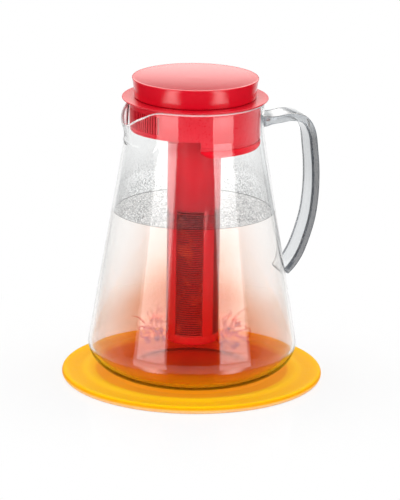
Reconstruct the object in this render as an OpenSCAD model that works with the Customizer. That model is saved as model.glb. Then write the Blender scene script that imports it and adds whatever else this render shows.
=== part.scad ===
// Fruit infuser pitcher: a conical glass jug on a round coaster, with a plastic lid, a pull-off cap
// and a slotted infuser tube that hangs through the lid. Millimetres, +Z up, handle along +X,
// spout along -X, origin at the middle of the coaster's underside.

/* [Coaster] */
// Radius of the coaster
coaster_r = 103.2; // [100:0.1:110]
// Thickness of the coaster at its rim
coaster_h = 6; // [5.5:0.1:8]
// Radius of the recess that the jug stands in
seat_r = 74; // [60:0.5:76]

/* [Glass jug] */
// Widest outer radius of the jug, low on its side
belly_r = 82.5; // [80:0.1:85]
// Height of the widest point above the table
belly_z = 29; // [26:0.5:34]
// Outer radius of the straight neck
neck_r = 54.2; // [53.8:0.1:54.6]
// Height where the cone turns into the neck
neck_z = 197; // [194:0.5:200]
// Height of the rim above the table
rim_z = 224.4; // [224:0.1:224.6]
// Thickness of the glass wall
wall = 2.3; // [1.8:0.1:2.4]
// Radius of the flat that the jug stands on
foot_r = 52; // [44:0.5:56]
// How far the rim dips at the spout
spout_dip = 16.5; // [10:0.1:20]

/* [Handle] */
// Width of the glass ribbon
ribbon_w = 24.2; // [18:0.1:28]
// Thickness of the glass ribbon
ribbon_t = 6.2; // [4:0.1:7]

/* [Lid] */
// Radius of the lid's flange
flange_r = 57.7; // [56:0.1:60]
// Height of the flange's top face
deck_z = 226.6; // [226.5:0.1:227]
// Outer radius of the skirt inside the neck
skirt_r = 51.2; // [50.6:0.1:51.3]
// Height of the skirt's lower edge on the spout side
pour_edge_z = 202; // [200:0.5:204]
// Width of each slot in the pouring strainer
pour_slot_w = 1.2; // [0.8:0.1:1.4]
// Number of slots in the pouring strainer
pour_slots = 28; // [16:1:30]

/* [Cap] */
// Radius of the cap's top edge
cap_r = 49.5; // [49:0.1:51]
// Height of the cap's top face
cap_z = 242.3; // [240:0.1:246]

/* [Infuser] */
// Outer radius of the infuser tube
tube_r = 21; // [20:0.1:21.3]
// Height of the tube's lower end
tube_z = 30; // [24:0.5:40]
// Height of the lower edge of the screens
screen_z = 36.5; // [34:0.5:44]
// Number of slits in each screen
slits = 56; // [20:1:60]
// Rise from one slit to the next
slit_pitch = 1.8; // [1.5:0.05:1.8]
// Height of one slit
slit_h = 0.7; // [0.4:0.05:0.9]

/* [Hidden] */
round_fn = 96;
eps = 0.01;
gap = 0.3;                             // running clearance between pieces that move apart

// Coaster
coaster_floor_z = 4.4;                 // height of the recess that the jug stands in
coaster_groove_r = 90;                 // middle of the wide shallow groove
coaster_groove_w = 11;
coaster_groove_d = 1;
coaster_edge = 2.4;                    // rounding of the rim
grip_radii = [34, 62, 90];             // anti-slip grooves in the underside
grip_w = 3;
grip_d = 0.8;

// Glass
foot_z = coaster_floor_z + 0.1;        // the jug stands here
base_t = 3.2;
punt_r = 40;                           // the middle of the base is lifted a little
punt_h = 1.2;
shoulder_r = neck_r + 0.6;             // start of the cone, just under the neck
shoulder_z = neck_z - 4;
rim_bead = 0.45;
spout_x = -33;                         // axis of the flared cone that forms the spout
spout_foot_z = 193.6;
spout_foot_r = 21.7;
spout_slope = 0.289;
spout_top_z = rim_z + 2;
dip_half_w = 40.2;                     // half the dip's width along Y, at the rim
dip_steps = 24;
dip_power = 1.143;                     // how sharply the dip narrows towards its lowest point

// Handle: the ribbon's middle line in the XZ plane, from the neck to the belly
handle_line = [[53.6, 205.7], [66, 206.3], [77.1, 207.5], [87.9, 204.5], [94.2, 194.5], [96.7, 178],
               [98, 162], [97.7, 142.9], [94.9, 122.7], [87.7, 100.7], [80.8, 88.3], [75, 81.4]];
handle_steps = 6;                      // points worked out between two of them

// Lid
deck_t = 1.8;
skirt_wall = 2;
skirt_edge_z = 197.4;                  // lower edge of the full-radius skirt on the handle side
neck_groove_r = 50.1;                  // radius of the groove between skirt and band
band_z = 189;                          // lower edge of the band
band_h = 5.6;
band_arc = 103.5;                      // half the arc that the band covers, about the handle side
band_r = 51.3;
tongue_w = 0.7;
tongue_l = 2.4;
strainer_arc = 42;                     // half the arc of the strainer, about the spout side
strainer_z0 = 204;
strainer_z1 = 221;
strainer_rim = 1.5;
gasket_ri = 52;
gasket_ro = 54;
gasket_h = 0.8;
hole_r = tube_r + 0.6;                 // hole in the deck for the tube
locator_r = 45.4;                      // low ring on the deck that centres the cap
locator_h = 3.5;

// Cap
cap_wall = 1.8;
cap_foot_z = deck_z + 0.3;
cap_foot_r = cap_r - 1.9;              // the cap's side leans in towards its foot
cap_waist_r = cap_r - 0.4;
cap_lip = 0.8;
plug_r = 18.9;
plug_wall = 2.2;
plug_foot_z = 217;
plug_disc_r = 34;
plug_disc_t = 1.6;
plug_groove_z = 221.6;
plug_groove_r = 17.9;
ring_r = 18.1;                         // inner radius of the sealing ring
ring_t = 1;
ring_h = 2;

// Infuser
tube_wall = 1.6;
tube_flange_r = 27;
tube_flange_t = 2;
tube_base_t = 1.8;
infuser_turn = -27.4;                  // the tube hangs turned by this much
screen_arc = 63;
screen_t = 0.9;
screen_inset = 0.15;
screen_margin = 1.5;                   // degrees of plain border beside the slits
slat_step = 0.12;                      // how far the slats lie back from the panel's frame
drain_slots = 5;
drain_w = 1.2;
drain_pitch = 5;

// Points along a quarter of an ellipse, from angle a0 to a1
function ellipse_arc(c, rx, ry, a0, a1, n) =
    [for (i = [0:n]) let (a = a0 + (a1 - a0) * i / n) [c[0] + rx * cos(a), c[1] + ry * sin(a)]];

// One point of a smooth curve through the points p, after point i, at share t
function curve_point(p, i, t) =
    let (a = p[max(i - 1, 0)], b = p[i], c = p[i + 1], d = p[min(i + 2, len(p) - 1)])
    0.5 * (2 * b + (c - a) * t + (2 * a - 5 * b + 4 * c - d) * t * t + (3 * b - a - 3 * c + d) * t * t * t);
function curve(p, n) = concat(
    [for (i = [0:len(p) - 2]) for (k = [0:n - 1]) curve_point(p, i, k / n)], [p[len(p) - 1]]);
function unit(v) = v / norm(v);
function side(p, i) = let (d = unit(p[min(i + 1, len(p) - 1)] - p[max(i - 1, 0)])) [-d[1], d[0]];

module ring(r_in, r_out, z0, z1) {
    translate([0, 0, z0]) difference() {
        cylinder(r = r_out, h = z1 - z0, $fn = round_fn);
        translate([0, 0, -1]) cylinder(r = r_in, h = z1 - z0 + 2, $fn = round_fn);
    }
}

// A piece of a ring, from angle a0 to a1
module ring_piece(r_in, r_out, z0, z1, a0, a1) {
    rotate([0, 0, a0]) rotate_extrude(angle = a1 - a0, $fn = round_fn)
        polygon([[r_in, z0], [r_out, z0], [r_out, z1], [r_in, z1]]);
}

module coaster() {
    color("orange") difference() {
        rotate_extrude($fn = round_fn) polygon(concat(
            [[0, 0], [coaster_r - coaster_edge, 0]],
            ellipse_arc([coaster_r - coaster_edge, coaster_h / 2], coaster_edge, coaster_h / 2, -90, 90, 10),
            ellipse_arc([coaster_groove_r, coaster_h], coaster_groove_w / 2, -coaster_groove_d, 0, 180, 8),
            [[seat_r + 2, coaster_h - 0.2], [seat_r, coaster_floor_z], [0, coaster_floor_z]]));
        for (r = grip_radii) ring(r - grip_w / 2, r + grip_w / 2, -1, grip_d);
    }
}

// Half outline of the jug, shrunk inwards by t everywhere but the base
function jug_outline(t, z_foot, z_top) = concat(
    [[0, z_foot]],
    ellipse_arc([foot_r, belly_z], belly_r - foot_r - t, belly_z - z_foot, -90, 0, 10),
    [[shoulder_r + 0.4 - t, shoulder_z], [neck_r - t, neck_z + 1.5], [neck_r - t, z_top], [0, z_top]]);

module jug_solid(t, z_foot, z_top) {
    rotate_extrude($fn = round_fn) polygon(jug_outline(t, z_foot, z_top));
}

module spout_cone(t, z_top) {
    translate([spout_x, 0, spout_foot_z])
        cylinder(r1 = spout_foot_r - t, r2 = spout_foot_r - t + spout_slope * (z_top - spout_foot_z),
                 h = z_top - spout_foot_z, $fn = round_fn);
}

// What is cut from the rim so that it dips at the spout
module spout_dip_cut() {
    rotate([90, 0, -90]) translate([0, 0, 30]) linear_extrude(60)
        polygon(concat(
            [for (i = [0:dip_steps]) let (s = -1 + 2 * i / dip_steps)
                [dip_half_w * s, rim_z - spout_dip * pow((1 + cos(180 * s)) / 2, dip_power)]],
            [[dip_half_w, rim_z + 12], [-dip_half_w, rim_z + 12]]));
}

module glass_body() {
    color("lightblue", 0.4) difference() {
        union() {
            jug_solid(0, foot_z, rim_z);
            ring(neck_r - 1, neck_r + rim_bead, rim_z - 2, rim_z);
            intersection() {
                spout_cone(0, rim_z);
                translate([-100, -50, spout_foot_z]) cube([70, 100, rim_z - spout_foot_z]);
            }
        }
        jug_solid(wall, foot_z + base_t, rim_z + 5);
        spout_cone(wall, spout_top_z);
        translate([0, 0, foot_z - punt_h * 2])
            cylinder(r1 = punt_r + 4, r2 = punt_r - 4, h = punt_h * 3, $fn = round_fn);
        spout_dip_cut();
    }
}

module glass_handle() {
    line = curve(handle_line, handle_steps);
    n = len(line) - 1;
    color("lightblue", 0.5) difference() {
        rotate([90, 0, 0]) linear_extrude(ribbon_w, center = true) polygon(concat(
            [for (i = [0:n]) line[i] + side(line, i) * ribbon_t / 2],
            [for (i = [n:-1:0]) line[i] - side(line, i) * ribbon_t / 2]));
        jug_solid(0, foot_z, rim_z);
    }
}

module lid_gasket() {
    color("darkred") ring(gasket_ri, gasket_ro, rim_z + gap, rim_z + gap + gasket_h);
}

module lid_collar() {
    flange_foot_z = deck_z - deck_t;
    color("red") difference() {
        union() {
            rotate_extrude($fn = round_fn) polygon(concat(
                [[hole_r, flange_foot_z], [flange_r - deck_t / 2, flange_foot_z]],
                ellipse_arc([flange_r - deck_t / 2, deck_z - deck_t / 2], deck_t / 2, deck_t / 2, -90, 90, 6),
                [[hole_r, deck_z]]));
            ring(locator_r - 1.2, locator_r, deck_z - eps, deck_z + locator_h);
            ring(skirt_r - skirt_wall, skirt_r, skirt_edge_z, flange_foot_z + eps);
            ring(skirt_r - skirt_wall, neck_groove_r, band_z + band_h, skirt_edge_z + eps);
            ring(skirt_r - skirt_wall, skirt_r - skirt_wall + tongue_w,
                 band_z + band_h - tongue_l, band_z + band_h + eps);
        }
        // groove for the gasket
        ring(gasket_ri - 0.2, gasket_ro + 0.2, rim_z, rim_z + gap + gasket_h + 0.1);
        // the skirt is shorter on the spout side
        ring_piece(skirt_r - skirt_wall - 1, skirt_r + 1, band_z - 2, pour_edge_z, band_arc, 360 - band_arc);
        // window for the strainer
        ring_piece(skirt_r - skirt_wall - 1, skirt_r + 1, strainer_z0, strainer_z1,
                   180 - strainer_arc, 180 + strainer_arc);
    }
}

module pour_strainer() {
    r_in = skirt_r - skirt_wall + 0.2;
    r_out = skirt_r - 0.2;
    slot_step = (2 * strainer_arc - 5) / pour_slots;
    color("firebrick") difference() {
        ring_piece(r_in, r_out, strainer_z0, strainer_z1, 180 - strainer_arc, 180 + strainer_arc);
        for (i = [0:pour_slots - 1])
            rotate([0, 0, 180 + (i - (pour_slots - 1) / 2) * slot_step])
                translate([r_in - 1, -pour_slot_w / 2, strainer_z0 + strainer_rim])
                    cube([4, pour_slot_w, strainer_z1 - strainer_z0 - 2 * strainer_rim]);
    }
}

// A grooved band on the skirt's lower edge that holds the lid in the neck as the jug pours
module retaining_band() {
    r_in = skirt_r - skirt_wall - 0.6;
    color("crimson") rotate([0, 0, -band_arc]) rotate_extrude(angle = 2 * band_arc, $fn = round_fn) polygon([
        [r_in, band_z], [band_r - 1.6, band_z], [band_r - 0.3, band_z + 1.6], [band_r, band_z + band_h * 0.6],
        [band_r - 0.5, band_z + band_h],
        [skirt_r - skirt_wall + tongue_w, band_z + band_h],
        [skirt_r - skirt_wall + tongue_w, band_z + band_h - tongue_l],
        [skirt_r - skirt_wall, band_z + band_h - tongue_l],
        [skirt_r - skirt_wall, band_z + band_h], [r_in, band_z + band_h]]);
}

module cap_shell() {
    color("red") rotate_extrude($fn = round_fn) polygon(concat(
        [[0, cap_z - cap_wall], [cap_waist_r - cap_wall, cap_z - cap_wall],
         [cap_foot_r - cap_wall, cap_foot_z], [cap_foot_r, cap_foot_z], [cap_waist_r, cap_z - 2.4]],
        ellipse_arc([cap_r - cap_lip, cap_z - cap_lip], cap_lip, cap_lip, -20, 90, 5),
        [[0, cap_z]]));
}

module cap_plug() {
    disc_z = cap_z - cap_wall - plug_disc_t;
    color("maroon") difference() {
        union() {
            translate([0, 0, disc_z]) cylinder(r = plug_disc_r, h = plug_disc_t, $fn = round_fn);
            ring(plug_r - plug_wall, plug_r, plug_foot_z, disc_z + eps);
        }
        ring(plug_groove_r, plug_r + 1, plug_groove_z, plug_groove_z + ring_h + 0.4);
    }
}

module cap_gasket() {
    color("darkred") translate([0, 0, plug_groove_z + 0.2]) rotate_extrude($fn = round_fn)
        translate([ring_r, 0])
            polygon([[0, 0], [ring_t * 0.6, 0], [ring_t, ring_h / 2], [ring_t * 0.6, ring_h], [0, ring_h]]);
}

module infuser_tube() {
    screen_top = screen_z + slits * slit_pitch + slit_pitch;
    color("red") rotate([0, 0, infuser_turn]) difference() {
        union() {
            translate([0, 0, tube_z]) cylinder(r = tube_r, h = deck_z + 0.1 - tube_z, $fn = round_fn);
            translate([0, 0, deck_z + 0.1]) cylinder(r = tube_flange_r, h = tube_flange_t, $fn = round_fn);
        }
        translate([0, 0, tube_z + tube_base_t])
            cylinder(r = tube_r - tube_wall, h = deck_z + tube_flange_t + 5 - tube_z, $fn = round_fn);
        for (k = [0:3]) ring_piece(tube_r - tube_wall - 1, tube_r + 1, screen_z, screen_top,
                                   -screen_arc / 2 + k * 90, screen_arc / 2 + k * 90);
        for (i = [0:drain_slots - 1]) {
            y = (i - (drain_slots - 1) / 2) * drain_pitch;
            half = sqrt(pow(tube_r - 6, 2) - y * y);
            translate([-half, y - drain_w / 2, tube_z - 1]) cube([2 * half, drain_w, 6]);
        }
    }
}

// One slitted panel, filling window k of the tube: a frame, with slats a little thinner than it
module infuser_screen(k) {
    screen_top = screen_z + slits * slit_pitch + slit_pitch;
    r_out = tube_r - screen_inset;
    r_in = r_out - screen_t;
    half = screen_arc / 2;
    inner = half - screen_margin;
    first = screen_z + slit_pitch - slit_h / 2;
    last = screen_z + slit_pitch * slits + slit_h / 2;
    color("brown") rotate([0, 0, infuser_turn + k * 90]) union() {
        difference() {
            ring_piece(r_in, r_out, screen_z, screen_top, -half, half);
            ring_piece(r_in - 1, r_out + 1, first, last, -inner, inner);
        }
        for (i = [1:slits - 1])
            ring_piece(r_in + slat_step, r_out - slat_step, screen_z + slit_pitch * i + slit_h / 2,
                       screen_z + slit_pitch * (i + 1) - slit_h / 2, -inner - 0.5, inner + 0.5);
    }
}

coaster();
glass_body();
glass_handle();
lid_gasket();
lid_collar();
pour_strainer();
retaining_band();
cap_shell();
cap_plug();
cap_gasket();
infuser_tube();
infuser_screen(0);  // infuser_screen_1
infuser_screen(1);  // infuser_screen_2
infuser_screen(2);  // infuser_screen_3
infuser_screen(3);  // infuser_screen_4
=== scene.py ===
import math
import random

import bmesh
import bpy
from mathutils import Euler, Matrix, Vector


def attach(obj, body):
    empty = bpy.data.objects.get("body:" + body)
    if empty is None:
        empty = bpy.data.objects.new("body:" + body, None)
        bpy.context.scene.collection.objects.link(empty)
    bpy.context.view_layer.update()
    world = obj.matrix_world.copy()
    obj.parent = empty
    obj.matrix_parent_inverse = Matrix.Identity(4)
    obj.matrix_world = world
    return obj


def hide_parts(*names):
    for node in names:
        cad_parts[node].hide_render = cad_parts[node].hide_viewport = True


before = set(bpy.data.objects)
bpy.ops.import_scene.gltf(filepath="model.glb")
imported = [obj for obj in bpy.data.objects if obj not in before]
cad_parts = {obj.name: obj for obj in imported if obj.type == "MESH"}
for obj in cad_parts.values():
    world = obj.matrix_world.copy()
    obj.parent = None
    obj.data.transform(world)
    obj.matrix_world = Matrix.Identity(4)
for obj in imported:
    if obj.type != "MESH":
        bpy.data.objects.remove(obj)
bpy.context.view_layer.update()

MM = 0.001

# Glass jug, in millimetres, as in the part's source
FOOT_Z, FOOT_R = 4.5, 52.0
BELLY_Z, BELLY_R = 29.0, 82.5
SHOULDER_Z, SHOULDER_R = 193.0, 55.0
NECK_R = 54.2
RIM_Z = 224.4
WALL = 2.3
BASE_T = 3.2
BASE_LIFT = ((0.01, 1.0), (14, 0.9), (30, 0.5))   # radius and rise of the floor inside
SPOUT_X, SPOUT_Z, SPOUT_R, SPOUT_SLOPE = 33.0, 193.6, 21.7, 0.289
DIP, DIP_HALF_W, DIP_POWER = 16.5, 40.2, 1.143

# Handle
HANDLE_LINE = [(53.6, 205.7), (66, 206.3), (77.1, 207.5), (87.9, 204.5), (94.2, 194.5), (96.7, 178),
               (98, 162), (97.7, 142.9), (94.9, 122.7), (87.7, 100.7), (80.8, 88.3), (75, 81.4)]
RIBBON_W, RIBBON_T = 24.2, 6.2

# Lid
DECK_Z, DECK_T = 226.6, 1.8
FLANGE_R = 57.2
SKIRT_R, SKIRT_WALL = 51.2, 2.0
POUR_EDGE_Z = 202.0
SKIRT_EDGE_Z = 197.4
GROOVE_R = 50.1
BAND_Z, BAND_H, BAND_R, BAND_ARC = 189.0, 5.6, 51.3, 103.5
STRAINER_ARC, STRAINER_Z0, STRAINER_Z1 = 42.0, 204.0, 221.0
POUR_SLOTS, POUR_SLOT_W = 28, 1.2
HOLE_R = 21.6
LOCATOR_R, LOCATOR_H = 45.4, 3.5

# Cap
CAP_R, CAP_Z, CAP_WALL = 49.5, 242.3, 1.8
CAP_FOOT_R, CAP_FOOT_Z = 47.6, 226.9
CAP_DISH = 1.0
PLUG_IN_R, PLUG_R, PLUG_Z, PLATE_R = 16.7, 18.9, 217, 34
RING_Z0, RING_Z1, RING_SEAT_R = 221.6, 224, 17.9

# Infuser
TUBE_R, TUBE_WALL, TUBE_Z = 21.0, 1.6, 30.0
SCREEN_Z, SLITS, SLIT_PITCH, SLIT_H = 36.5, 56, 1.8, 0.7
SCREEN_ARC, SCREEN_T, SCREEN_INSET, SCREEN_BORDER = 63.0, 0.9, 0.15, 1.5
INFUSER_TURN = -27.4
TUBE_FLANGE_R, TUBE_FLANGE_T = 27.0, 2.0
DRAIN_R, DRAIN_SLOTS, DRAIN_PITCH, DRAIN_SLOT_W = 14.6, 5, 5, 1.2

# Coaster
COASTER_R, COASTER_H, COASTER_FLOOR_Z, SEAT_R = 103.2, 6.0, 4.4, 74.0

# What the jug holds in the photograph
TEA_Z = 136.4
MIST_H, BREW_R = 52, 18.9
DRINK_INTO_GLASS = 1.3

# The photograph's view: its turn from the spout-to-handle plane, its drop and roll in degrees, its focal length in
# pixels, and where it is taken from, in metres to the right of, behind and above the object
VIEW_TURN = math.radians(-19.0)
VIEW_DROP, VIEW_ROLL = 15.83, 0.82
VIEW_FOCAL_PX, PICTURE_H_PX, SENSOR_W = 3208, 500, 36
VIEW_FROM = (0.0054, -2.436, 0.793)

# Studio: the table's radius in metres, and the soft boxes' glow as pairs of height and strength
TABLE_R = 0.66
SOFT_BOX_LEVELS = ((-0.50, 5.4), (-0.42, 4.2), (-0.24, 4.0), (-0.08, 2.2), (0.01, 1.2), (0.05, 1.3), (0.14, 4.0))

# Finishes
WHITE = (1, 1, 1, 1)
CLOUD_SCALE, GRAIN_SCALE = 25.0, 900.0
# the coaster's colours from its underside (0) to its raised rings (1); the deepest orange, low down round the jug, is
# partly painted shade
SILICONE_TONES_AND_SHADE = ((0.38, (0.98, 0.56, 0.24)), (0.60, (0.99, 0.45, 0.0)), (0.75, (0.90, 0.34, 0.0)),
                   (0.86, (1.0, 0.52, 0.0)), (0.97, (1.0, 0.55, 0.0)))


def arc(cx, cz, rx, rz, a0, a1, n):
    """Points along part of an ellipse in the (r, z) plane."""
    out = []
    for i in range(n + 1):
        a = math.radians(a0 + (a1 - a0) * i / n)
        out.append((cx + rx * math.cos(a), cz + rz * math.sin(a)))
    return out


def new_object(name, verts, faces, smooth_deg=35.0):
    mesh = bpy.data.meshes.new(name)
    mesh.from_pydata([(x * MM, y * MM, z * MM) for x, y, z in verts], [], faces)
    bm = bmesh.new()
    bm.from_mesh(mesh)
    bmesh.ops.remove_doubles(bm, verts=bm.verts, dist=1e-7)
    bmesh.ops.recalc_face_normals(bm, faces=bm.faces)
    bm.to_mesh(mesh)
    bm.free()
    mesh.shade_smooth()
    mesh.set_sharp_from_angle(angle=math.radians(smooth_deg))
    obj = bpy.data.objects.new(name, mesh)
    bpy.context.scene.collection.objects.link(obj)
    return obj


def join_rings(rings, closed_round, closed_along):
    """Verts and quads for rows of points.

    closed_round joins the ends of each row, closed_along the last row to the first.
    """
    n = len(rings[0])
    verts = [p for ring in rings for p in ring]
    faces = []
    rows = len(rings) if closed_along else len(rings) - 1
    cols = n if closed_round else n - 1
    for i in range(rows):
        a, b = i * n, ((i + 1) % len(rings)) * n
        for j in range(cols):
            k = (j + 1) % n
            faces.append((a + j, a + k, b + k, b + j))
    return verts, faces


def turned(profile, segments=192, closed=True):
    """A profile of (r, z) points turned right round; closed joins its last point to its first."""
    rings = []
    for i in range(segments):
        a = 2 * math.pi * i / segments
        rings.append([(r * math.cos(a), r * math.sin(a), z) for r, z in profile])
    return join_rings(rings, closed, True)


def turned_part(profile, a0, a1, segments):
    """A closed profile of (r, z) points turned from a0 to a1 degrees, with its two ends filled."""
    rings = []
    for i in range(segments + 1):
        a = math.radians(a0 + (a1 - a0) * i / segments)
        rings.append([(r * math.cos(a), r * math.sin(a), z) for r, z in profile])
    verts, faces = join_rings(rings, True, False)
    n = len(profile)
    faces.append(tuple(range(n)))
    faces.append(tuple(range(segments * n, (segments + 1) * n)))
    return verts, faces


def gather(parts):
    """Several pairs of verts and faces as one."""
    verts, faces = [], []
    for v, f in parts:
        base = len(verts)
        verts += v
        faces += [tuple(base + i for i in face) for face in f]
    return verts, faces


def rounded_box_profile(r0, r1, z0, z1, c):
    """A rectangle in the (r, z) plane with its four corners rounded by c."""
    out = []
    for cx, cz, a in ((r1 - c, z0 + c, -90), (r1 - c, z1 - c, 0), (r0 + c, z1 - c, 90), (r0 + c, z0 + c, 180)):
        out += arc(cx, cz, c, c, a, a + 90, 3)
    return out


def turn_about_axis(obj, degrees):
    obj.data.transform(Euler((0, 0, math.radians(degrees))).to_matrix().to_4x4())


def smooth_max(a, b, k):
    return (a + b + math.sqrt((a - b) ** 2 + k * k)) / 2


def spline(points, steps):
    """A smooth curve through the points, as in the part's source."""
    out = []
    for i in range(len(points) - 1):
        a = points[max(i - 1, 0)]
        b, c = points[i], points[i + 1]
        d = points[min(i + 2, len(points) - 1)]
        for k in range(steps):
            t = k / steps
            out.append(tuple(
                0.5 * (2 * b[m] + (c[m] - a[m]) * t + (2 * a[m] - 5 * b[m] + 4 * c[m] - d[m]) * t * t
                       + (3 * b[m] - a[m] - 3 * c[m] + d[m]) * t ** 3) for m in (0, 1)))
    out.append(points[-1])
    return out


def side_radius(z):
    """Outer radius of the jug's side above its widest point, without the spout."""
    cone = BELLY_R - (z - BELLY_Z) * (BELLY_R - SHOULDER_R) / (SHOULDER_Z - BELLY_Z)
    return smooth_max(cone, NECK_R, 0.7)


def jug_radius(angle, z, inset):
    """Radius of the wall at an angle (0 at the handle) and a height, moved in by inset."""
    r = side_radius(z) - inset
    along = -SPOUT_X * math.cos(angle)
    cone_r = SPOUT_R + SPOUT_SLOPE * (z - SPOUT_Z) - inset
    under = along * along - SPOUT_X ** 2 + cone_r * cone_r
    if z > SPOUT_Z - 14 and along > 0 and under > 0:
        r = smooth_max(r, along + math.sqrt(under), 0.9 + 3.0 * max(0.0, 1 - abs(z - SPOUT_Z) / 14) ** 2)
    return r


def rim_height(angle):
    if math.cos(angle) >= 0:
        return RIM_Z
    share = max(-1.0, min(1.0, jug_radius(angle, RIM_Z - 8, WALL / 2) * math.sin(angle) / DIP_HALF_W))
    return RIM_Z - DIP * ((1 + math.cos(math.pi * share)) / 2) ** DIP_POWER


def wall_column(angle, inset, steps_low=40, steps_neck=26):
    """Points (r, z) up the wall at an angle, from the widest point to just under the rim."""
    top = rim_height(angle) - WALL / 2
    out = []
    for i in range(steps_low):
        z = BELLY_Z + (SHOULDER_Z - 2 - BELLY_Z) * i / steps_low
        out.append((jug_radius(angle, z, inset), z))
    for i in range(steps_neck + 1):
        z = SHOULDER_Z - 2 + (top - SHOULDER_Z + 2) * i / steps_neck
        out.append((jug_radius(angle, z, inset), z))
    return out


def jug_column(angle):
    """The whole section of the glass at an angle: base, outside, rim, inside, base."""
    foot = [(r, FOOT_Z + rise) for r, rise in ((0.01, 1.2), (20, 1.15), (36, 0.9), (44, 0.25), (48, 0.02))]
    corner = arc(FOOT_R, BELLY_Z, BELLY_R - FOOT_R, BELLY_Z - FOOT_Z, -90, 0, 22)[:-1]
    outside = wall_column(angle, 0)
    inside = wall_column(angle, WALL)
    (ro, zo), (ri, _) = outside[-1], inside[-1]
    lip = []
    for i in range(1, 8):
        a = math.pi * i / 8
        bead = 0.35 * math.sin(a)
        r = (ro + ri) / 2 + (ro - ri) / 2 * math.cos(a) + bead * 0.3
        lip.append((r, zo + (WALL / 2) * math.sin(a)))
    floor_z = FOOT_Z + BASE_T
    in_corner = arc(FOOT_R, BELLY_Z, BELLY_R - FOOT_R - WALL, BELLY_Z - floor_z, 0, -90, 22)[1:]
    floor = [(46, floor_z)] + [(r, floor_z + rise) for r, rise in BASE_LIFT[::-1]]
    return foot + corner + outside + lip + inside[::-1] + in_corner + floor


def make_jug(segments=288):
    rings = []
    for i in range(segments):
        a = 2 * math.pi * i / segments
        rings.append([(r * math.cos(a), r * math.sin(a), z) for r, z in jug_column(a)])
    verts, faces = join_rings(rings, False, True)
    jug = new_object("jug_glass", verts, faces, 60)
    # the lip gets the second glass, rough and half clear, so it shows as a pale line: a painted highlight
    for face in jug.data.polygons:
        x, y, z = face.center / MM
        if z > rim_height(math.atan2(y, x)) - WALL / 2 - 0.15:
            face.material_index = 1
    return jug


def make_handle():
    """The ribbon's section is a rounded bar that swells where it is fused to the wall."""
    line = spline(HANDLE_LINE, 8)
    n = len(line)
    sides = 40
    rings = []
    for i, (x, z) in enumerate(line):
        ax, az = line[max(i - 1, 0)]
        bx, bz = line[min(i + 1, n - 1)]
        length = math.hypot(bx - ax, bz - az)
        nx, nz = -(bz - az) / length, (bx - ax) / length
        top_swell = math.exp(-((x - 54) / 5.0) ** 2) if z > 190 else 0
        low_swell = math.exp(-((z - 80) / 7.0) ** 2) if z < 110 else 0
        half_t = RIBBON_T / 2 + 1.3 * top_swell - 0.3 * low_swell
        half_w = RIBBON_W / 2 + 1.2 * top_swell - 1.2 * low_swell
        ring = []
        for k in range(sides):
            a = 2 * math.pi * k / sides
            c, s = math.cos(a), math.sin(a)
            u = math.copysign(abs(c) ** 0.16, c) * half_w
            v = math.copysign(abs(s) ** 0.30, s) * half_t
            ring.append((x + nx * v, u, z + nz * v))
        rings.append(ring)
    # rounded closing of both ends, inside the wall at the top and against it at the foot
    closings = []
    for end, inner in ((0, 1), (n - 1, n - 2)):
        (cx, cz), (px, pz) = line[end], line[inner]
        d = math.hypot(cx - px, cz - pz)
        dx, dz = (cx - px) / d, (cz - pz) / d
        closing = []
        for k in (1, 2, 3):
            a = math.pi / 2 * k / 3.4
            scale, move = math.cos(a), math.sin(a) * 0.9
            closing.append([(cx + (x - cx) * scale + dx * move, y * (0.6 + 0.4 * scale),
                             cz + (z - cz) * scale + dz * move) for x, y, z in rings[end]])
        closings.append(closing)
    rings = closings[0][::-1] + rings + closings[1]
    verts, faces = join_rings(rings, True, False)
    faces.append(tuple(range(sides)))
    faces.append(tuple(range(len(verts) - sides, len(verts))))
    # neither end goes deeper into the wall than half a millimetre
    fused = []
    for x, y, z in verts:
        grow = max(1.0, (side_radius(z) - 0.5) / math.hypot(x, y))
        fused.append((x * grow, y * grow, z))
    return new_object("handle_glass", fused, faces, 60)


def make_lid_collar():
    low = DECK_Z - DECK_T
    flange = [(HOLE_R, low + 0.2), (HOLE_R + 0.2, low), (FLANGE_R - 1.5, low)]
    flange += arc(FLANGE_R - 0.5, DECK_Z - 0.5, 0.5, 0.5, -50, 90, 6)
    flange += [(LOCATOR_R + 0.4, DECK_Z), (LOCATOR_R, DECK_Z + 0.4), (LOCATOR_R, DECK_Z + LOCATOR_H - 0.3),
               (LOCATOR_R - 0.3, DECK_Z + LOCATOR_H), (LOCATOR_R - 0.9, DECK_Z + LOCATOR_H),
               (LOCATOR_R - 1.2, DECK_Z + LOCATOR_H - 0.3), (LOCATOR_R - 1.2, DECK_Z + 0.3),
               (LOCATOR_R - 1.5, DECK_Z), (HOLE_R + 0.2, DECK_Z), (HOLE_R, DECK_Z - 0.2)]
    r0, r1 = SKIRT_R - SKIRT_WALL, SKIRT_R
    side = 180 - STRAINER_ARC
    parts = [turned(flange, 256), turned(rounded_box_profile(r0, r1, STRAINER_Z1, low + 0.05, 0.25), 256)]
    # skirt: deep on the handle side down to the band's groove, short on the spout side, open at the strainer
    for outer, z0, z1, edge, a0, a1, segments in (
            (r1, SKIRT_EDGE_Z, STRAINER_Z1 + 0.3, 0.5, -BAND_ARC, BAND_ARC, 140),
            (GROOVE_R, BAND_Z + BAND_H, SKIRT_EDGE_Z + 0.8, 0.2, -BAND_ARC, BAND_ARC, 140),
            (r1, POUR_EDGE_Z, STRAINER_Z1 + 0.3, 0.3, BAND_ARC, side, 30),
            (r1, POUR_EDGE_Z, STRAINER_Z1 + 0.3, 0.3, -side, -BAND_ARC, 30),
            (r1, POUR_EDGE_Z, STRAINER_Z0, 0.4, side - 0.5, 360 - side + 0.5, 60)):
        parts.append(turned_part(rounded_box_profile(r0, outer, z0, z1, edge), a0, a1, segments))
    return new_object("lid_collar_moulding", *gather(parts))


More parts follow.
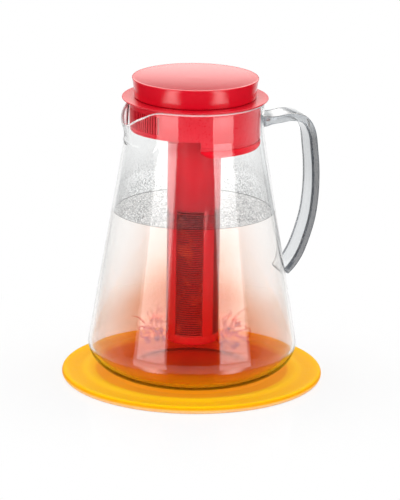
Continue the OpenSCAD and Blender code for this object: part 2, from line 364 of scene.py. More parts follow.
def make_strainer():
    r0, r1 = SKIRT_R - SKIRT_WALL + 0.2, SKIRT_R - 0.2
    step = (2 * STRAINER_ARC - 5) / POUR_SLOTS
    slot_deg = math.degrees(POUR_SLOT_W / SKIRT_R)
    first, last = 180 - STRAINER_ARC, 180 + STRAINER_ARC
    parts = [turned_part(rounded_box_profile(r0, r1, z, z + 1.5, 0.2), first, last, 60)
             for z in (STRAINER_Z0, STRAINER_Z1 - 1.5)]
    edges = [first]
    for i in range(POUR_SLOTS):
        mid = 180 + (i - (POUR_SLOTS - 1) / 2) * step
        edges += [mid - slot_deg / 2, mid + slot_deg / 2]
    edges.append(last)
    low, high = STRAINER_Z0 + 1.2, STRAINER_Z1 - 1.2
    bar = [(r0, low), (r1, low), (r1, high), (r0, high)]
    for a0, a1 in zip(edges[::2], edges[1::2]):
        parts.append(turned_part(bar, a0, a1, 3))
    return new_object("pour_strainer_bars", *gather(parts))


def make_band():
    """The soft band: its two ends are cut on a slant and thinned."""
    r0 = SKIRT_R - SKIRT_WALL - 0.6
    rings = []
    steps = 160
    for i in range(steps + 1):
        deg = -BAND_ARC + 2 * BAND_ARC * i / steps
        inner = min(1.0, (BAND_ARC - abs(deg)) / 9.0)
        z0 = BAND_Z + (BAND_H - 1.6) * (1 - inner) ** 1.3
        z1 = BAND_Z + BAND_H
        r1 = BAND_R - 0.5 * (1 - inner)
        profile = [(r0, z0 + 0.3), (r0 + 0.3, z0), (r1 - 1.4, z0), (r1 - 0.4, z0 + 0.35 * (z1 - z0)),
                   (r1, z0 + 0.62 * (z1 - z0)), (r1 - 0.15, z1 - 0.4), (r1 - 0.5, z1), (r0 + 0.3, z1),
                   (r0, z1 - 0.3)]
        a = math.radians(deg)
        rings.append([(r * math.cos(a), r * math.sin(a), z) for r, z in profile])
    verts, faces = join_rings(rings, True, False)
    n = len(rings[0])
    faces.append(tuple(range(n)))
    faces.append(tuple(range(steps * n, (steps + 1) * n)))
    return new_object("retaining_band_soft", verts, faces, 40)


def make_lid_gasket():
    profile = rounded_box_profile(52.0, 54.0, RIM_Z + 0.3, RIM_Z + 1.1, 0.3)
    return new_object("lid_gasket_ring", *turned(profile))


def make_cap():
    top = [(r, CAP_Z - CAP_DISH * share) for r, share in ((0.01, 1.0), (15, 0.93), (30, 0.66), (42, 0.28))]
    top.append((47.5, CAP_Z - 0.04))
    edge = arc(CAP_R - 0.7, CAP_Z - 0.7, 0.7, 0.7, 90, -25, 8)
    side = [(CAP_R - 0.3, CAP_Z - 1.6), (CAP_R - 0.45, CAP_Z - 2.4),
            ((CAP_R + CAP_FOOT_R) / 2 - 0.3, (CAP_Z + CAP_FOOT_Z) / 2),
            (CAP_FOOT_R, CAP_FOOT_Z + 0.5), (CAP_FOOT_R - 0.4, CAP_FOOT_Z)]
    ceiling = CAP_Z - CAP_WALL - 0.6
    inside = [(CAP_FOOT_R - CAP_WALL + 0.3, CAP_FOOT_Z), (CAP_FOOT_R - CAP_WALL, CAP_FOOT_Z + 0.4),
              (CAP_R - 0.8 - CAP_WALL, CAP_Z - CAP_WALL - 1.5), (CAP_R - 1.8 - CAP_WALL, ceiling), (0.01, ceiling)]
    return new_object("cap_moulding", *turned(top + edge + side + inside, 256, closed=False), 30)


def make_plug():
    disc = CAP_Z - CAP_WALL - 2.2
    top = disc + 1.6
    profile = [(PLUG_IN_R, PLUG_Z + 0.4), (PLUG_IN_R + 0.4, PLUG_Z), (PLUG_R - 0.5, PLUG_Z), (PLUG_R, PLUG_Z + 0.5),
               (PLUG_R, RING_Z0), (RING_SEAT_R, RING_Z0), (RING_SEAT_R, RING_Z1), (PLUG_R, RING_Z1), (PLUG_R, disc),
               (PLATE_R - 0.4, disc), (PLATE_R, disc + 0.4), (PLATE_R, disc + 1.2), (PLATE_R - 0.4, top),
               (PLUG_IN_R, top)]
    lid = [(0.01, disc), (PLUG_IN_R + 0.5, disc), (PLUG_IN_R + 0.5, top), (0.01, top)]
    return new_object("cap_plug_moulding", *gather([turned(profile, 128), turned(lid, 96)]))


def make_cap_gasket():
    return new_object("cap_gasket_ring", *turned(arc(18.55, 222.8, 0.5, 0.95, 0, 345, 14), 128))


def make_tube():
    r0, r1 = TUBE_R - TUBE_WALL, TUBE_R
    top_z = SCREEN_Z + (SLITS + 1) * SLIT_PITCH
    low, high = DECK_Z + 0.1, DECK_Z + 0.1 + TUBE_FLANGE_T
    head = [(r0 + 0.2, top_z), (r1 - 0.3, top_z), (r1, top_z + 0.3), (r1, low), (TUBE_FLANGE_R - 0.6, low),
            (TUBE_FLANGE_R, DECK_Z + 0.7), (TUBE_FLANGE_R, DECK_Z + 1.5), (TUBE_FLANGE_R - 0.6, high),
            (r0 + 0.8, high), (r0, DECK_Z + 1.3), (r0, top_z + 0.2)]
    foot = arc(r1 - 1.2, TUBE_Z + 1.2, 1.2, 1.2, -90, 0, 5)
    foot += [(r1, SCREEN_Z - 0.3), (r1 - 0.3, SCREEN_Z), (r0 + 0.2, SCREEN_Z), (r0, SCREEN_Z - 0.2),
             (r0, TUBE_Z + 1.8), (14, TUBE_Z + 1.8), (14, TUBE_Z)]
    parts = [turned(head, 160), turned(foot, 160)]
    half = SCREEN_ARC / 2
    post = rounded_box_profile(r0, r1, SCREEN_Z - 0.5, top_z + 0.5, 0.3)
    for k in range(4):
        parts.append(turned_part(post, k * 90 + half, k * 90 + 90 - half, 16))
    # drain grid in the base: bars between the slots, in a disc
    edges = [-DRAIN_R]
    for i in range(DRAIN_SLOTS):
        mid = (i - (DRAIN_SLOTS - 1) / 2) * DRAIN_PITCH
        edges += [mid - DRAIN_SLOT_W / 2, mid + DRAIN_SLOT_W / 2]
    edges.append(DRAIN_R)
    for lo, hi in zip(edges[::2], edges[1::2]):
        corners = []
        for y in [lo + (hi - lo) * t / 4 for t in range(5)]:
            corners.append((math.sqrt(max(0.0, DRAIN_R ** 2 - y * y)), y))
        outline = corners + [(-x, y) for x, y in corners[::-1]]
        n = len(outline)
        verts = [(x, y, z) for z in (TUBE_Z + 0.1, TUBE_Z + 1.7) for x, y in outline]
        faces = [tuple(range(n))[::-1], tuple(range(n, 2 * n))]
        faces += [(i, (i + 1) % n, n + (i + 1) % n, n + i) for i in range(n)]
        parts.append((verts, faces))
    obj = new_object("infuser_tube_frame", *gather(parts))
    turn_about_axis(obj, INFUSER_TURN)
    return obj


def make_screen(k):
    """One panel: a border on both sides and the slats between the slits."""
    r1 = TUBE_R - SCREEN_INSET
    r0 = r1 - SCREEN_T
    top_z = SCREEN_Z + (SLITS + 1) * SLIT_PITCH
    half = SCREEN_ARC / 2
    parts = []
    for i in range(SLITS + 1):
        z0 = SCREEN_Z + i * SLIT_PITCH + (SLIT_H / 2 if i else 0)
        z1 = SCREEN_Z + (i + 1) * SLIT_PITCH - (SLIT_H / 2 if i < SLITS else 0)
        slat = [(r0 + 0.15, z0), (r1 - 0.15, z0), (r1, z0 + 0.15), (r1, z1 - 0.15), (r1 - 0.15, z1), (r0 + 0.15, z1)]
        parts.append(turned_part(slat, -half, half, 14))
    border = [(r0, SCREEN_Z), (r1 - 0.05, SCREEN_Z), (r1 - 0.05, top_z), (r0, top_z)]
    for a0, a1 in ((-half, -half + SCREEN_BORDER), (half - SCREEN_BORDER, half)):
        parts.append(turned_part(border, a0, a1, 2))
    obj = new_object("infuser_screen_%d_slats" % (k + 1), *gather(parts))
    turn_about_axis(obj, INFUSER_TURN + 90 * k)
    return obj


def make_coaster():
    h = COASTER_H
    profile = [(0.01, 0.0), (100.4, 0.0)] + arc(COASTER_R - 2.6, h / 2, 2.6, h / 2, -90, 90, 12)
    # from the rim inwards: the wide hollow, the raised ring, the slope down to the floor
    profile += [(r, h - drop) for r, drop in (
        (99.4, 0.1), (98.2, 0.5), (96.5, 0.9), (91.5, 1.0), (88.0, 0.95), (85.6, 0.6), (84.2, 0.12), (82.8, 0),
        (80.6, 0.06), (79.2, 0.45), (77.6, 0.8), (76.2, 1.2))]
    profile.append((SEAT_R, COASTER_FLOOR_Z))
    for r in (65, 52):
        profile += [(r + 1, COASTER_FLOOR_Z), (r, COASTER_FLOOR_Z - 0.25), (r - 1, COASTER_FLOOR_Z)]
    profile.append((0.01, COASTER_FLOOR_Z))
    return new_object("coaster_mat", *turned(profile, 256, closed=False), 50)


def from_view(x, y, z):
    """A point given as right of, behind and above the object as the photograph shows it."""
    c, s = math.cos(VIEW_TURN), math.sin(VIEW_TURN)
    return Vector((x * c - y * s, x * s + y * c, z))


def socket(group, name, kind, way, value=None):
    s = group.interface.new_socket(name=name, in_out=way, socket_type="NodeSocket" + kind)
    if value is not None:
        s.default_value = value


def node(tree, kind, inputs=None, **settings):
    """A new shader node; each input is a value, or another node's output to link."""
    n = tree.nodes.new("ShaderNode" + kind)
    for key, value in settings.items():
        setattr(n, key, value)
    for key, value in (inputs or {}).items():
        if isinstance(value, bpy.types.NodeSocket):
            tree.links.new(value, n.inputs[key])
        else:
            n.inputs[key].default_value = value
    return n


def map_range(tree, value, a0, a1, b0, b1, smooth=False):
    """The value's range a0 to a1 carried over to b0 to b1."""
    n = node(tree, "MapRange", {"Value": value, "From Min": a0, "From Max": a1, "To Min": b0, "To Max": b1},
             interpolation_type="SMOOTHSTEP" if smooth else "LINEAR")
    return n.outputs["Result"]


def math_node(tree, operation, a, b):
    return node(tree, "Math", {0: a, 1: b}, operation=operation).outputs["Value"]


def product(tree, value, *others):
    """The values multiplied one after the other."""
    for other in others:
        value = math_node(tree, "MULTIPLY", value, other)
    return value


def size_of(tree, value):
    return math_node(tree, "ABSOLUTE", value, 0.0)


def on_object(tree):
    """A point's place on the object, in metres."""
    return node(tree, "TexCoord").outputs["Object"]


def along(tree, where, axis):
    """One coordinate of a place."""
    return node(tree, "SeparateXYZ", {"Vector": where}).outputs[axis]


def along_view(tree, where, right, behind):
    """How far a place or direction lies to the right of or behind the object, as the photograph shows it."""
    n = node(tree, "VectorMath", {0: where, 1: from_view(right, behind, 0)}, operation="DOT_PRODUCT")
    return n.outputs["Value"]


def noise(tree, where, scale, detail=2, distortion=0.0):
    n = node(tree, "TexNoise", {"Vector": where, "Scale": scale, "Detail": detail, "Distortion": distortion})
    return n.outputs["Fac"]


def grey(tree, level):
    return node(tree, "CombineColor", {0: level, 1: level, 2: level}).outputs["Color"]


def mix_color(tree, share, a, b, blend_type="MIX"):
    """Colour a where share is 0, colour b where it is 1."""
    n = node(tree, "Mix", {"Factor": share, "A": a, "B": b}, data_type="RGBA", blend_type=blend_type)
    return n.outputs["Result"]


def mix_shader(tree, share, a, b):
    """Shader a where share is 0, shader b where it is 1."""
    return node(tree, "MixShader", {0: share, 1: a, 2: b}).outputs["Shader"]


def clear_shader(tree, color=WHITE):
    return node(tree, "BsdfTransparent", {"Color": color}).outputs["BSDF"]


def glow_shader(tree, strength, color=WHITE):
    return node(tree, "Emission", {"Color": color, "Strength": strength}).outputs["Emission"]


def background(tree, color, strength=1.0):
    return node(tree, "Background", {"Color": color, "Strength": strength}).outputs["Background"]


def absorption(tree, color, density):
    return node(tree, "VolumeAbsorption", {"Color": (*color, 1), "Density": density}).outputs["Volume"]


def set_inputs(shader, values):
    for key, value in values.items():
        shader.inputs[key].default_value = value


def new_material(name):
    mat = bpy.data.materials.new(name)
    mat.use_nodes = True
    tree = mat.node_tree
    return mat, tree, tree.nodes["Principled BSDF"], tree.nodes["Material Output"]


def build_moulded_grain():
    """Fine uneven surface of moulded plastic or rubber: varied colour, roughness and height."""
    g = bpy.data.node_groups.new("moulded_grain", "ShaderNodeTree")
    for name, kind, value in (("Color", "Color", (0.8, 0.8, 0.8, 1)), ("Shade", "Color", (0.5, 0.5, 0.5, 1)),
                              ("Roughness", "Float", 0.3), ("Cloud Scale", "Float", CLOUD_SCALE),
                              ("Grain Scale", "Float", GRAIN_SCALE)):
        socket(g, name, kind, "INPUT", value)
    for name, kind in (("Color", "Color"), ("Roughness", "Float"), ("Height", "Float")):
        socket(g, name, kind, "OUTPUT")
    start, end = g.nodes.new("NodeGroupInput"), g.nodes.new("NodeGroupOutput")
    where = on_object(g)
    cloud = map_range(g, noise(g, where, start.outputs["Cloud Scale"], 3), 0.35, 0.7, 0.0, 1.0)
    grain = noise(g, where, start.outputs["Grain Scale"], 2)
    uneven = map_range(g, grain, 0.3, 0.7, 0.85, 1.2)
    g.links.new(mix_color(g, cloud, start.outputs["Color"], start.outputs["Shade"]), end.inputs["Color"])
    g.links.new(product(g, start.outputs["Roughness"], uneven), end.inputs["Roughness"])
    g.links.new(grain, end.inputs["Height"])
    return g


def build_droplets():
    """How much light passes fine droplets: least just above the drink, all of it near the neck."""
    g = bpy.data.node_groups.new("droplets", "ShaderNodeTree")
    socket(g, "Pass", "Float", "OUTPUT")
    socket(g, "Haze", "Float", "OUTPUT")
    end = g.nodes.new("NodeGroupOutput")
    where = on_object(g)
    z = along(g, where, "Z")
    veil = map_range(g, z, 0.190, 0.142, 1.0, 0.95, True)
    near = map_range(g, z, 0.178, 0.140, 0.0, 1.0, True)
    drops = map_range(g, noise(g, where, 1000, 1), 0.42, 0.62, 0.0, 1.0)
    patch = map_range(g, noise(g, where, 150, 3), 0.35, 0.65, 0.6, 1.0)
    beads = product(g, near, drops, patch)
    g.links.new(product(g, veil, map_range(g, beads, 0.0, 1.0, 1.0, 0.50)), end.inputs["Pass"])
    g.links.new(near, end.inputs["Haze"])
    return g


def moulded_material(name, grain, color, shade, roughness, bump, cloud=CLOUD_SCALE):
    mat, tree, shader, _ = new_material(name)
    g = node(tree, "Group", {"Color": (*color, 1), "Shade": (*shade, 1), "Roughness": roughness,
                             "Cloud Scale": cloud, "Grain Scale": GRAIN_SCALE}, node_tree=grain)
    relief = node(tree, "Bump", {"Strength": bump, "Distance": 0.0003, "Height": g.outputs["Height"]})
    tree.links.new(g.outputs["Color"], shader.inputs["Base Color"])
    tree.links.new(g.outputs["Roughness"], shader.inputs["Roughness"])
    tree.links.new(relief.outputs["Normal"], shader.inputs["Normal"])
    return mat


def silicone_material(grain):
    """Translucent silicone: yellow on the raised rings, orange in the hollows, deepest orange on the floor round the
    jug, which is partly painted shade, pale at the thin lower edge.
    """
    mat = moulded_material("coaster_silicone", grain, (1, 1, 1), (0.95, 0.9, 0.8), 0.55, 0.05, cloud=9)
    tree = mat.node_tree
    shader = tree.nodes["Principled BSDF"]
    clouded = shader.inputs["Base Color"].links[0].from_socket
    height = map_range(tree, along(tree, on_object(tree), "Z"), 0.0, COASTER_H * MM, 0.0, 1.0)
    # partly painted shade: the ramp by height makes the low floor round the jug the deepest orange
    ramp = node(tree, "ValToRGB", {"Fac": height})
    stops = ramp.color_ramp.elements
    for spot, color in SILICONE_TONES_AND_SHADE:
        stops.new(spot).color = (*color, 1)
    # the two stops that a new ramp comes with
    stops.remove(stops[0])
    stops.remove(stops[-1])
    color = mix_color(tree, 1.0, clouded, ramp.outputs["Color"], "MULTIPLY")
    tree.links.new(color, shader.inputs["Base Color"])
    set_inputs(shader, {"Specular IOR Level": 0.08, "Subsurface Weight": 0.2, "Subsurface Scale": 1.0,
                        "Subsurface Radius": (0.006, 0.002, 0.0008)})
    return mat


def glass_material(name, roughness=0.0, transmission=1.0):
    """Clear blown glass with very slight waves."""
    mat, tree, shader, out = new_material(name)
    wave = noise(tree, on_object(tree), 14, 1)
    relief = node(tree, "Bump", {"Height": wave, "Strength": 0.02, "Distance": 0.002})
    tree.links.new(mix_color(tree, wave, WHITE, (0.985, 0.995, 0.993, 1)), shader.inputs["Base Color"])
    tree.links.new(relief.outputs["Normal"], shader.inputs["Normal"])
    set_inputs(shader, {"Roughness": roughness, "IOR": 1.5, "Transmission Weight": transmission})
    # lamp light passes through, tinted by the glass
    shadow = node(tree, "LightPath").outputs["Is Shadow Ray"]
    lit = mix_shader(tree, shadow, shader.outputs["BSDF"], clear_shader(tree, (0.97, 0.98, 0.98, 1)))
    tree.links.new(lit, out.inputs["Surface"])
    return mat


def handle_material():
    """The ribbon's glass: grey where it is thick, and darkened with painted shade on its two side edges below the
    bend.
    """
    mat = glass_material("handle_glass", 0.10)
    tree = mat.node_tree
    base = tree.nodes["Principled BSDF"].inputs["Base Color"]
    where = on_object(tree)
    # painted shade: the side edges below the bend get a dark grey base colour
    side = map_range(tree, size_of(tree, along(tree, where, "Y")), 0.0104, 0.0114, 0.0, 1.0, True)
    low = map_range(tree, along(tree, where, "Z"), 0.203, 0.188, 0.0, 1.0, True)
    clear = base.links[0].from_socket
    tree.links.new(mix_color(tree, product(tree, side, low), clear, (0.28, 0.29, 0.31, 1)), base)
    depth = absorption(tree, (0.66, 0.68, 0.70), 100)
    tree.links.new(depth, tree.nodes["Material Output"].inputs["Volume"])
    return mat


def tea_material():
    """The drink: nearly clear at its surface, orange towards the bottom, deep red under the tube, with a painted
    orange glow low down.

    It does not bend the light, because the photograph shows no bending at the jug's sides and bottom.
    """
    mat, tree, shader, out = new_material("drink")
    tree.nodes.remove(shader)
    tree.links.new(clear_shader(tree, (0.965, 0.955, 0.948, 1)), out.inputs["Surface"])
    where = on_object(tree)
    split = node(tree, "SeparateXYZ", {"Vector": where}).outputs
    z = split["Z"]
    flat = node(tree, "CombineXYZ", {"X": split["X"], "Y": split["Y"]}).outputs["Vector"]
    r = node(tree, "VectorMath", {0: flat}, operation="LENGTH").outputs["Value"]
    # the body of it: a cloud round the axis, wider and stronger towards the bottom
    vary = map_range(tree, noise(tree, where, 22, 4, 1.2), 0.35, 0.7, 0.55, 1.45)
    reach = math_node(tree, "DIVIDE", r, map_range(tree, z, 0.035, 0.080, 0.064, 0.033, True))
    ring = math_node(tree, "POWER", math.e, product(tree, reach, reach, -1.0))
    rise = node(tree, "Math", {0: z, 1: -33.0, 2: 2.25}, operation="MULTIPLY_ADD").outputs["Value"]
    rise = math_node(tree, "POWER", math.e, rise)
    thin = map_range(tree, z, 0.035, 0.080, 0.16, 1.0, True)
    body = product(tree, product(tree, rise, vary), product(tree, ring, thin, 56.0))
    # a layer on the base, and the column under the tube
    layer = product(tree, map_range(tree, z, 0.024, 0.012, 0.0, 1.0, True), 16.0)
    in_column = map_range(tree, r, 0.024, 0.019, 0.0, 1.0, True)
    below_tube = map_range(tree, z, 0.036, 0.028, 0.0, 1.0, True)
    column = product(tree, in_column, below_tube, 48.0)
    # lamp light passes it more easily, so that what stands in it is lit
    lamp = map_range(tree, node(tree, "LightPath").outputs["Is Shadow Ray"], 0.0, 1.0, 1.0, 0.2)
    parts = [absorption(tree, color, product(tree, amount, lamp)) for color, amount in (
        ((0.88, 0.40, 0.13), body), ((0.86, 0.44, 0.05), layer), ((0.93, 0.05, 0.06), column))]
    # painted light: an orange glow in the lowest part of the drink stands in for light scattered in the tea
    parts.append(glow_shader(tree, map_range(tree, z, 0.034, 0.018, 0.0, 1.3, True), (1.0, 0.27, 0.03, 1)))
    tea = parts[0]
    for part in parts[1:]:
        tea = node(tree, "AddShader", {0: tea, 1: part}).outputs["Shader"]
    tree.links.new(tea, out.inputs["Volume"])
    return mat


def surface_material(droplets):
    """The drink's level surface: droplets, a faint mirror, no bending of the light."""
    mat, tree, shader, out = new_material("drink_surface")
    drops = node(tree, "Group", node_tree=droplets).outputs["Pass"]
    # its raised edge at the wall is a thin dark line of painted shade
    z = along(tree, on_object(tree), "Z")
    edge = map_range(tree, z, (TEA_Z - 0.7) * MM, (TEA_Z - 0.2) * MM, 1.0, 0.40)
    clear = clear_shader(tree, grey(tree, product(tree, drops, edge)))
    set_inputs(shader, {"Base Color": (0.75, 0.75, 0.75, 1), "Roughness": 0.1})
    tree.links.new(mix_shader(tree, 0.02, clear, shader.outputs["BSDF"]), out.inputs["Surface"])
    return mat


def wisp_material():
    """Threads of stronger tea that hang in the drink: clear, brownish red."""
    mat, tree, shader, out = new_material("tea_wisp")
    tree.nodes.remove(shader)
    patch = map_range(tree, noise(tree, on_object(tree), 160, 3), 0.35, 0.62, 0.0, 1.0, True)
    tone = mix_color(tree, patch, (0.97, 0.84, 0.77, 1), (0.86, 0.34, 0.22, 1))
    tree.links.new(clear_shader(tree, tone), out.inputs["Surface"])
    return mat


def brew_material():
    """The wet leaves in the tube: dark, with orange-red patches."""
    mat, tree, shader, _ = new_material("brew")
    patch = map_range(tree, noise(tree, on_object(tree), 90, 5), 0.50, 0.68, 0.0, 1.0, True)
    tone = mix_color(tree, patch, (0.05, 0.006, 0.003, 1), (0.72, 0.10, 0.015, 1))
    tree.links.new(tone, shader.inputs["Base Color"])
    set_inputs(shader, {"Roughness": 0.6})
    return mat


def mist_material(droplets):
    """Fine droplets on the inside of the glass above the drink."""
    mat, tree, shader, out = new_material("mist")
    drops = node(tree, "Group", node_tree=droplets)
    clear = clear_shader(tree, grey(tree, drops.outputs["Pass"]))
    set_inputs(shader, {"Base Color": (0.8, 0.8, 0.8, 1), "Roughness": 0.4})
    haze = map_range(tree, drops.outputs["Haze"], 0.0, 1.0, 0.0, 0.012)
    tree.links.new(mix_shader(tree, haze, clear, shader.outputs["BSDF"]), out.inputs["Surface"])
    return mat


def mirrored_before(tree, path):
    """1 for a ray that leaves clear glass after it was mirrored in or behind it."""
    bounced = math_node(tree, "GREATER_THAN", path["Glossy Depth"], 0.5)
    return product(tree, path["Is Transmission Ray"], bounced)


def straight_through(tree, path):
    """1 for a ray that only went through glass and was never mirrored."""
    never = math_node(tree, "LESS_THAN", path["Glossy Depth"], 0.5)
    return product(tree, path["Is Transmission Ray"], never)


def floor_material():
    """White sweep: a pale glossy table near the object that fades into plain white."""
    mat, tree, shader, out = new_material("white_table")
    where = on_object(tree)
    tree.links.new(map_range(tree, noise(tree, where, 40), 0, 1, 0.93, 0.96), shader.inputs["Base Color"])
    set_inputs(shader, {"Roughness": 0.12})
    far = node(tree, "VectorMath", {0: where}, operation="LENGTH").outputs["Value"]
    fade = map_range(tree, far, 0.10, 0.26, 0.80, 1.0, True)
    path = node(tree, "LightPath").outputs
    through = path["Is Transmission Ray"]
    seen = math_node(tree, "MAXIMUM", path["Is Camera Ray"], through)
    white = glow_shader(tree, map_range(tree, through, 0.0, 1.0, 1.0, 1.16))
    lit = mix_shader(tree, product(tree, seen, fade), shader.outputs["BSDF"], white)
    # beside the backdrop's width the table is darker to rays that were mirrored
    across = size_of(tree, along_view(tree, where, 1, 0))
    beside = map_range(tree, across, 0.15, 0.28, 0.0, 1.0, True)
    hide = product(tree, mirrored_before(tree, path), beside)
    tree.links.new(mix_shader(tree, hide, lit, glow_shader(tree, 0.8)), out.inputs["Surface"])
    return mat


def link(obj):
    bpy.context.scene.collection.objects.link(obj)


def aim(obj, spot, target):
    obj.location = spot
    obj.rotation_euler = (Vector(target) - Vector(spot)).to_track_quat("-Z", "Y").to_euler()


def make_camera():
    cam = bpy.data.cameras.new("camera")
    cam.sensor_width = SENSOR_W
    cam.lens = VIEW_FOCAL_PX / PICTURE_H_PX * SENSOR_W
    cam.clip_start, cam.clip_end = 0.1, 50
    obj = bpy.data.objects.new("camera", cam)
    obj.location = from_view(*VIEW_FROM)
    turn = Euler((math.radians(90 - VIEW_DROP), 0, VIEW_TURN)).to_matrix().to_4x4()
    roll = Euler((0, 0, math.radians(VIEW_ROLL))).to_matrix().to_4x4()
    obj.rotation_euler = (turn @ roll).to_euler()
    link(obj)
    bpy.context.scene.camera = obj


def add_lamp(name, spot, target, size_x, size_y, power):
    light = bpy.data.lights.new(name, "AREA")
    light.shape = "RECTANGLE"
    light.size, light.size_y = size_x, size_y
    light.energy = power
    obj = bpy.data.objects.new(name, light)
    aim(obj, spot, target)
    obj.visible_glossy = False
    obj.visible_camera = False
    link(obj)


def add_card(name, spot, target, half_w, low, high, levels):
    """A glowing card that only shows in glossy surfaces, as a soft box does; levels: pairs of height and strength."""
    mesh = bpy.data.meshes.new(name)
    corners = [(-half_w, low, 0), (half_w, low, 0), (half_w, high, 0), (-half_w, high, 0)]
    mesh.from_pydata(corners, [], [(0, 1, 2, 3)])
    obj = bpy.data.objects.new(name, mesh)
    aim(obj, spot, target)
    mat, tree, _, out = new_material(name + "_glow")
    where = on_object(tree)
    y = along(tree, where, "Y")
    edge = map_range(tree, size_of(tree, along(tree, where, "X")), 0.05, half_w, 1.0, 0.0, True)
    low_edge = map_range(tree, y, -0.52, -0.42, 0.0, 1.0, True)
    soft = math_node(tree, "MAXIMUM", edge, low_edge)
    strength = levels[0][1]
    for (y0, s0), (y1, s1) in zip(levels, levels[1:]):
        strength = math_node(tree, "ADD", map_range(tree, y, y0, y1, 0.0, s1 - s0, True), strength)
    glow = glow_shader(tree, product(tree, strength, soft), (1, 0.96, 0.92, 1))
    # to a ray that only went straight through glass the card is not there
    gone = straight_through(tree, node(tree, "LightPath").outputs)
    tree.links.new(mix_shader(tree, gone, glow, clear_shader(tree)), out.inputs["Surface"])
    obj.data.materials.append(mat)
    for flag in ("camera", "diffuse", "transmission", "shadow", "volume_scatter"):
        setattr(obj, "visible_" + flag, False)
    link(obj)


def make_world():
    """White to the camera and through glass, plain soft light for matt surfaces.

    In reflections it is a dark room round the backdrop.
    """
    world = bpy.data.worlds.new("studio")
    bpy.context.scene.world = world
    world.use_nodes = True
    tree = world.node_tree
    tree.nodes.clear()
    where = node(tree, "TexCoord").outputs["Generated"]
    behind = along_view(tree, where, 0, 1)
    up = along(tree, where, "Z")
    path = node(tree, "LightPath").outputs
    backdrop = map_range(tree, behind, 0.60, 0.92, 0.04, 1.0, True)
    ceiling = map_range(tree, up, 0.25, 0.5, 0.0, 1.0, True)
    room = math_node(tree, "MAXIMUM", backdrop, ceiling)
    inside = product(tree, path["Is Transmission Ray"], map_range(tree, behind, -0.5, 0.4, 0.05, 0.92, True))
    # a ray that went straight through to the camera's side of the room sees a pale wall
    pale = map_range(tree, behind, -0.3, -0.8, 0.0, 0.95, True)
    near_side = product(tree, straight_through(tree, path), pale)
    mirrored = math_node(tree, "MAXIMUM", math_node(tree, "MAXIMUM", room, inside), near_side)
    through = map_range(tree, behind, -0.6, 0.1, 0.9, 1.16, True)
    shiny = math_node(tree, "MAXIMUM", path["Is Glossy Ray"], mirrored_before(tree, path))
    light = background(tree, WHITE, 0.42)
    light = mix_shader(tree, path["Is Transmission Ray"], light, background(tree, through))
    light = mix_shader(tree, shiny, light, background(tree, mirrored))
    light = mix_shader(tree, path["Is Camera Ray"], light, background(tree, WHITE))
    node(tree, "OutputWorld", {"Surface": light})


def make_stage():
    make_camera()
    make_world()
    segments = 64
    rim = [2 * math.pi * i / segments for i in range(segments)]
    verts = [(TABLE_R * math.cos(a) / MM, TABLE_R * math.sin(a) / MM, -0.05) for a in rim]
    table = new_object("white_table", verts, [tuple(range(segments))])
    table.data.materials.append(floor_material())
    table.visible_glossy = False
    centre = (0, 0, 0.12)
    for side, name, turn, half_w in ((-1, "left", 45.3, 0.445), (1, "right", 47.5, 0.42)):
        a = math.radians(turn)
        box = from_view(side * 1.3 * math.sin(a), -1.3 * math.cos(a), 0.12)
        lamp = from_view(side * 1.2 * math.sin(a), -1.2 * math.cos(a), 0.24)
        add_card("soft_box_" + name, box, centre, half_w, -1.3, 0.75, SOFT_BOX_LEVELS)
        add_lamp("lamp_" + name, lamp, centre, 0.7, 0.5, 5.5)
    add_lamp("lamp_over", from_view(0, 0.1, 1.3), centre, 1.2, 1.0, 11.0)
    add_card("over_card", from_view(0, 1.1, 0.24), (0, 0, 0.24), 0.9, 0.10, 1.2, ((0.18, 0.0), (0.34, 3.0)))


def add_piece(obj, body, slot, cad_node, *materials):
    for mat in materials:
        obj.data.materials.append(mat)
    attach(obj, body)
    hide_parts(cad_node)


def add_contents(obj, body, *materials):
    """What the jug holds in the photograph is not part of the object; it rides with a body and hides no part."""
    for mat in materials:
        obj.data.materials.append(mat)
    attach(obj, body)


def make_wisps():
    """Curling strips of tea to both sides of the tube's foot."""
    rng = random.Random(11)
    steps, stride = 22, 1.4
    parts = []
    for side, top, count in ((-1, 82, 20), (1, 62, 20)):
        for _ in range(count):
            spot = Vector((side * rng.uniform(22, 32), rng.uniform(-26, 8), rng.uniform(24, 44)))
            goal = Vector((side * rng.uniform(32, 50), spot.y + rng.uniform(-12, 12), rng.uniform(40, top)))
            heading = (goal - spot).normalized()
            curl = rng.uniform(-0.5, 0.5)
            line, widths = [], []
            for i in range(steps):
                line.append(spot.copy())
                swell = math.sin(math.pi * i / (steps - 1)) ** 2
                widths.append(0.15 + 1.1 * swell * rng.uniform(0.5, 1.0))
                pull = (goal - spot).normalized() * 0.25
                bend = Vector((-heading.z, 0.2 * math.sin(i), heading.x)) * curl
                stray = Vector((rng.uniform(-0.3, 0.3), 0, rng.uniform(-0.3, 0.3)))
                heading = (heading + pull + bend + stray).normalized()
                curl += rng.uniform(-0.5, 0.5)
                spot = spot + heading * stride
            rings = []
            for i, q in enumerate(line):
                way = line[min(i + 1, steps - 1)] - line[max(i - 1, 0)]
                across = Vector((-way.z, 0.3, way.x)).normalized() * widths[i]
                rings.append([tuple(from_view(*(q - across))), tuple(from_view(*(q + across)))])
            parts.append(join_rings(rings, False, False))
    return new_object("tea_wisps", *gather(parts), 60)


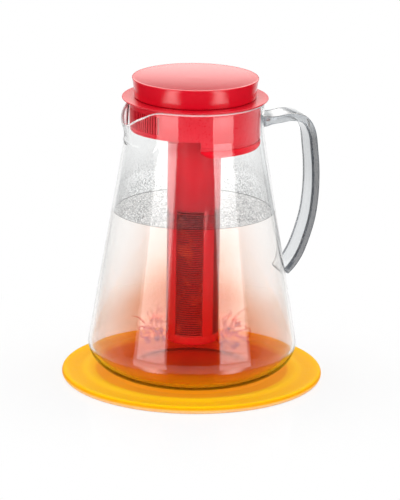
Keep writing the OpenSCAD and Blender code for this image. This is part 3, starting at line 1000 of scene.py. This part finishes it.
def make_drink():
    """The drink, filled a little way into the glass, so that no clear edge shows round it."""
    gap = -DRINK_INTO_GLASS
    floor_z = FOOT_Z + BASE_T
    profile = [(r, floor_z + rise + gap) for r, rise in BASE_LIFT] + [(46, floor_z + gap)]
    profile += arc(FOOT_R, BELLY_Z, BELLY_R - FOOT_R - WALL - gap, BELLY_Z - floor_z - gap, -90, 0, 22)
    steps = 40
    for i in range(1, steps + 1):
        z = BELLY_Z + (TEA_Z - BELLY_Z) * i / steps
        profile.append((side_radius(z) - WALL - gap, z))
    r = profile[-1][0]
    level = TEA_Z - 0.8
    profile += [(r - 1.5, TEA_Z - 0.1), (r - 1.8, TEA_Z - 0.5), (r - 2.4, level), (0.01, level)]
    tea = new_object("drink", *turned(profile, 256, closed=False), 50)
    for face in tea.data.polygons:
        x, y, z = face.center / MM
        face.material_index = 1 if z > level - 0.05 and math.hypot(x, y) < r - 0.5 else 0
    return tea


def make_mist():
    heights = [TEA_Z + 0.3 + MIST_H * k / 20 for k in range(21)]
    wall = [(side_radius(z) - WALL - 0.1, z) for z in heights]
    return new_object("mist", *turned(wall, 256, closed=False), 60)


def make_brew():
    return new_object("brew", *turned(rounded_box_profile(0.3, BREW_R, TUBE_Z + 2.2, TEA_Z - 1.2, 0.2), 96))


def build():
    grain = build_moulded_grain()
    red = moulded_material("red_plastic", grain, (0.70, 0.003, 0.018), (0.66, 0.002, 0.015), 0.16, 0.01)
    skirt_red = moulded_material("skirt_plastic", grain, (0.66, 0.005, 0.020), (0.62, 0.004, 0.018), 0.3, 0.004)
    band_red = moulded_material("band_rubber", grain, (0.72, 0.001, 0.014), (0.66, 0.001, 0.012), 0.5, 0.05)
    set_inputs(band_red.node_tree.nodes["Principled BSDF"], {"Specular IOR Level": 0.05})
    seal_red = moulded_material("seal_rubber", grain, (0.42, 0.006, 0.014), (0.36, 0.005, 0.012), 0.5, 0.05)
    tube_red = moulded_material("infuser_plastic", grain, (0.62, 0.008, 0.018), (0.55, 0.006, 0.014), 0.22, 0.02)
    # the screen is the infuser's plastic painted darker: painted shade on the window
    screen_red_shaded = moulded_material("screen_plastic_painted_shade", grain, (0.42, 0.005, 0.008), (0.34, 0.004, 0.006), 0.3, 0.02)
    orange = silicone_material(grain)
    # the lip's rough, half-clear glass paints a pale line along it: a painted highlight
    glass, rim_highlight_glass = glass_material("jug_glass"), glass_material("rim_painted_highlight", 0.35, 0.45)
    add_piece(make_coaster(), "coaster", "coaster", "coaster", orange)
    add_piece(make_jug(), "jug", "glass", "glass_body", glass, rim_highlight_glass)
    add_piece(make_handle(), "jug", "glass", "glass_handle", handle_material())
    add_piece(make_lid_gasket(), "lid_seal", "seal", "lid_gasket", seal_red)
    add_piece(make_lid_collar(), "lid", "lid_plastic", "lid_collar", skirt_red)
    add_piece(make_strainer(), "lid", "lid_plastic", "pour_strainer", skirt_red)
    add_piece(make_band(), "lid", "band", "retaining_band", band_red)
    add_piece(make_cap(), "cap", "lid_plastic", "cap_shell", red)
    add_piece(make_plug(), "cap", "infuser_plastic", "cap_plug", tube_red)
    add_piece(make_cap_gasket(), "cap_seal", "seal", "cap_gasket", seal_red)
    add_piece(make_tube(), "infuser", "infuser_plastic", "infuser_tube", tube_red)
    for k in range(4):
        add_piece(make_screen(k), "infuser", "infuser_plastic", "infuser_screen_%d" % (k + 1), screen_red_shaded)
    droplets = build_droplets()
    add_contents(make_drink(), "jug", tea_material(), surface_material(droplets))
    add_contents(make_mist(), "jug", mist_material(droplets))
    add_contents(make_brew(), "infuser", brew_material())
    add_contents(make_wisps(), "jug", wisp_material())


make_stage()
build()
bpy.context.scene.view_settings.view_transform = "Standard"
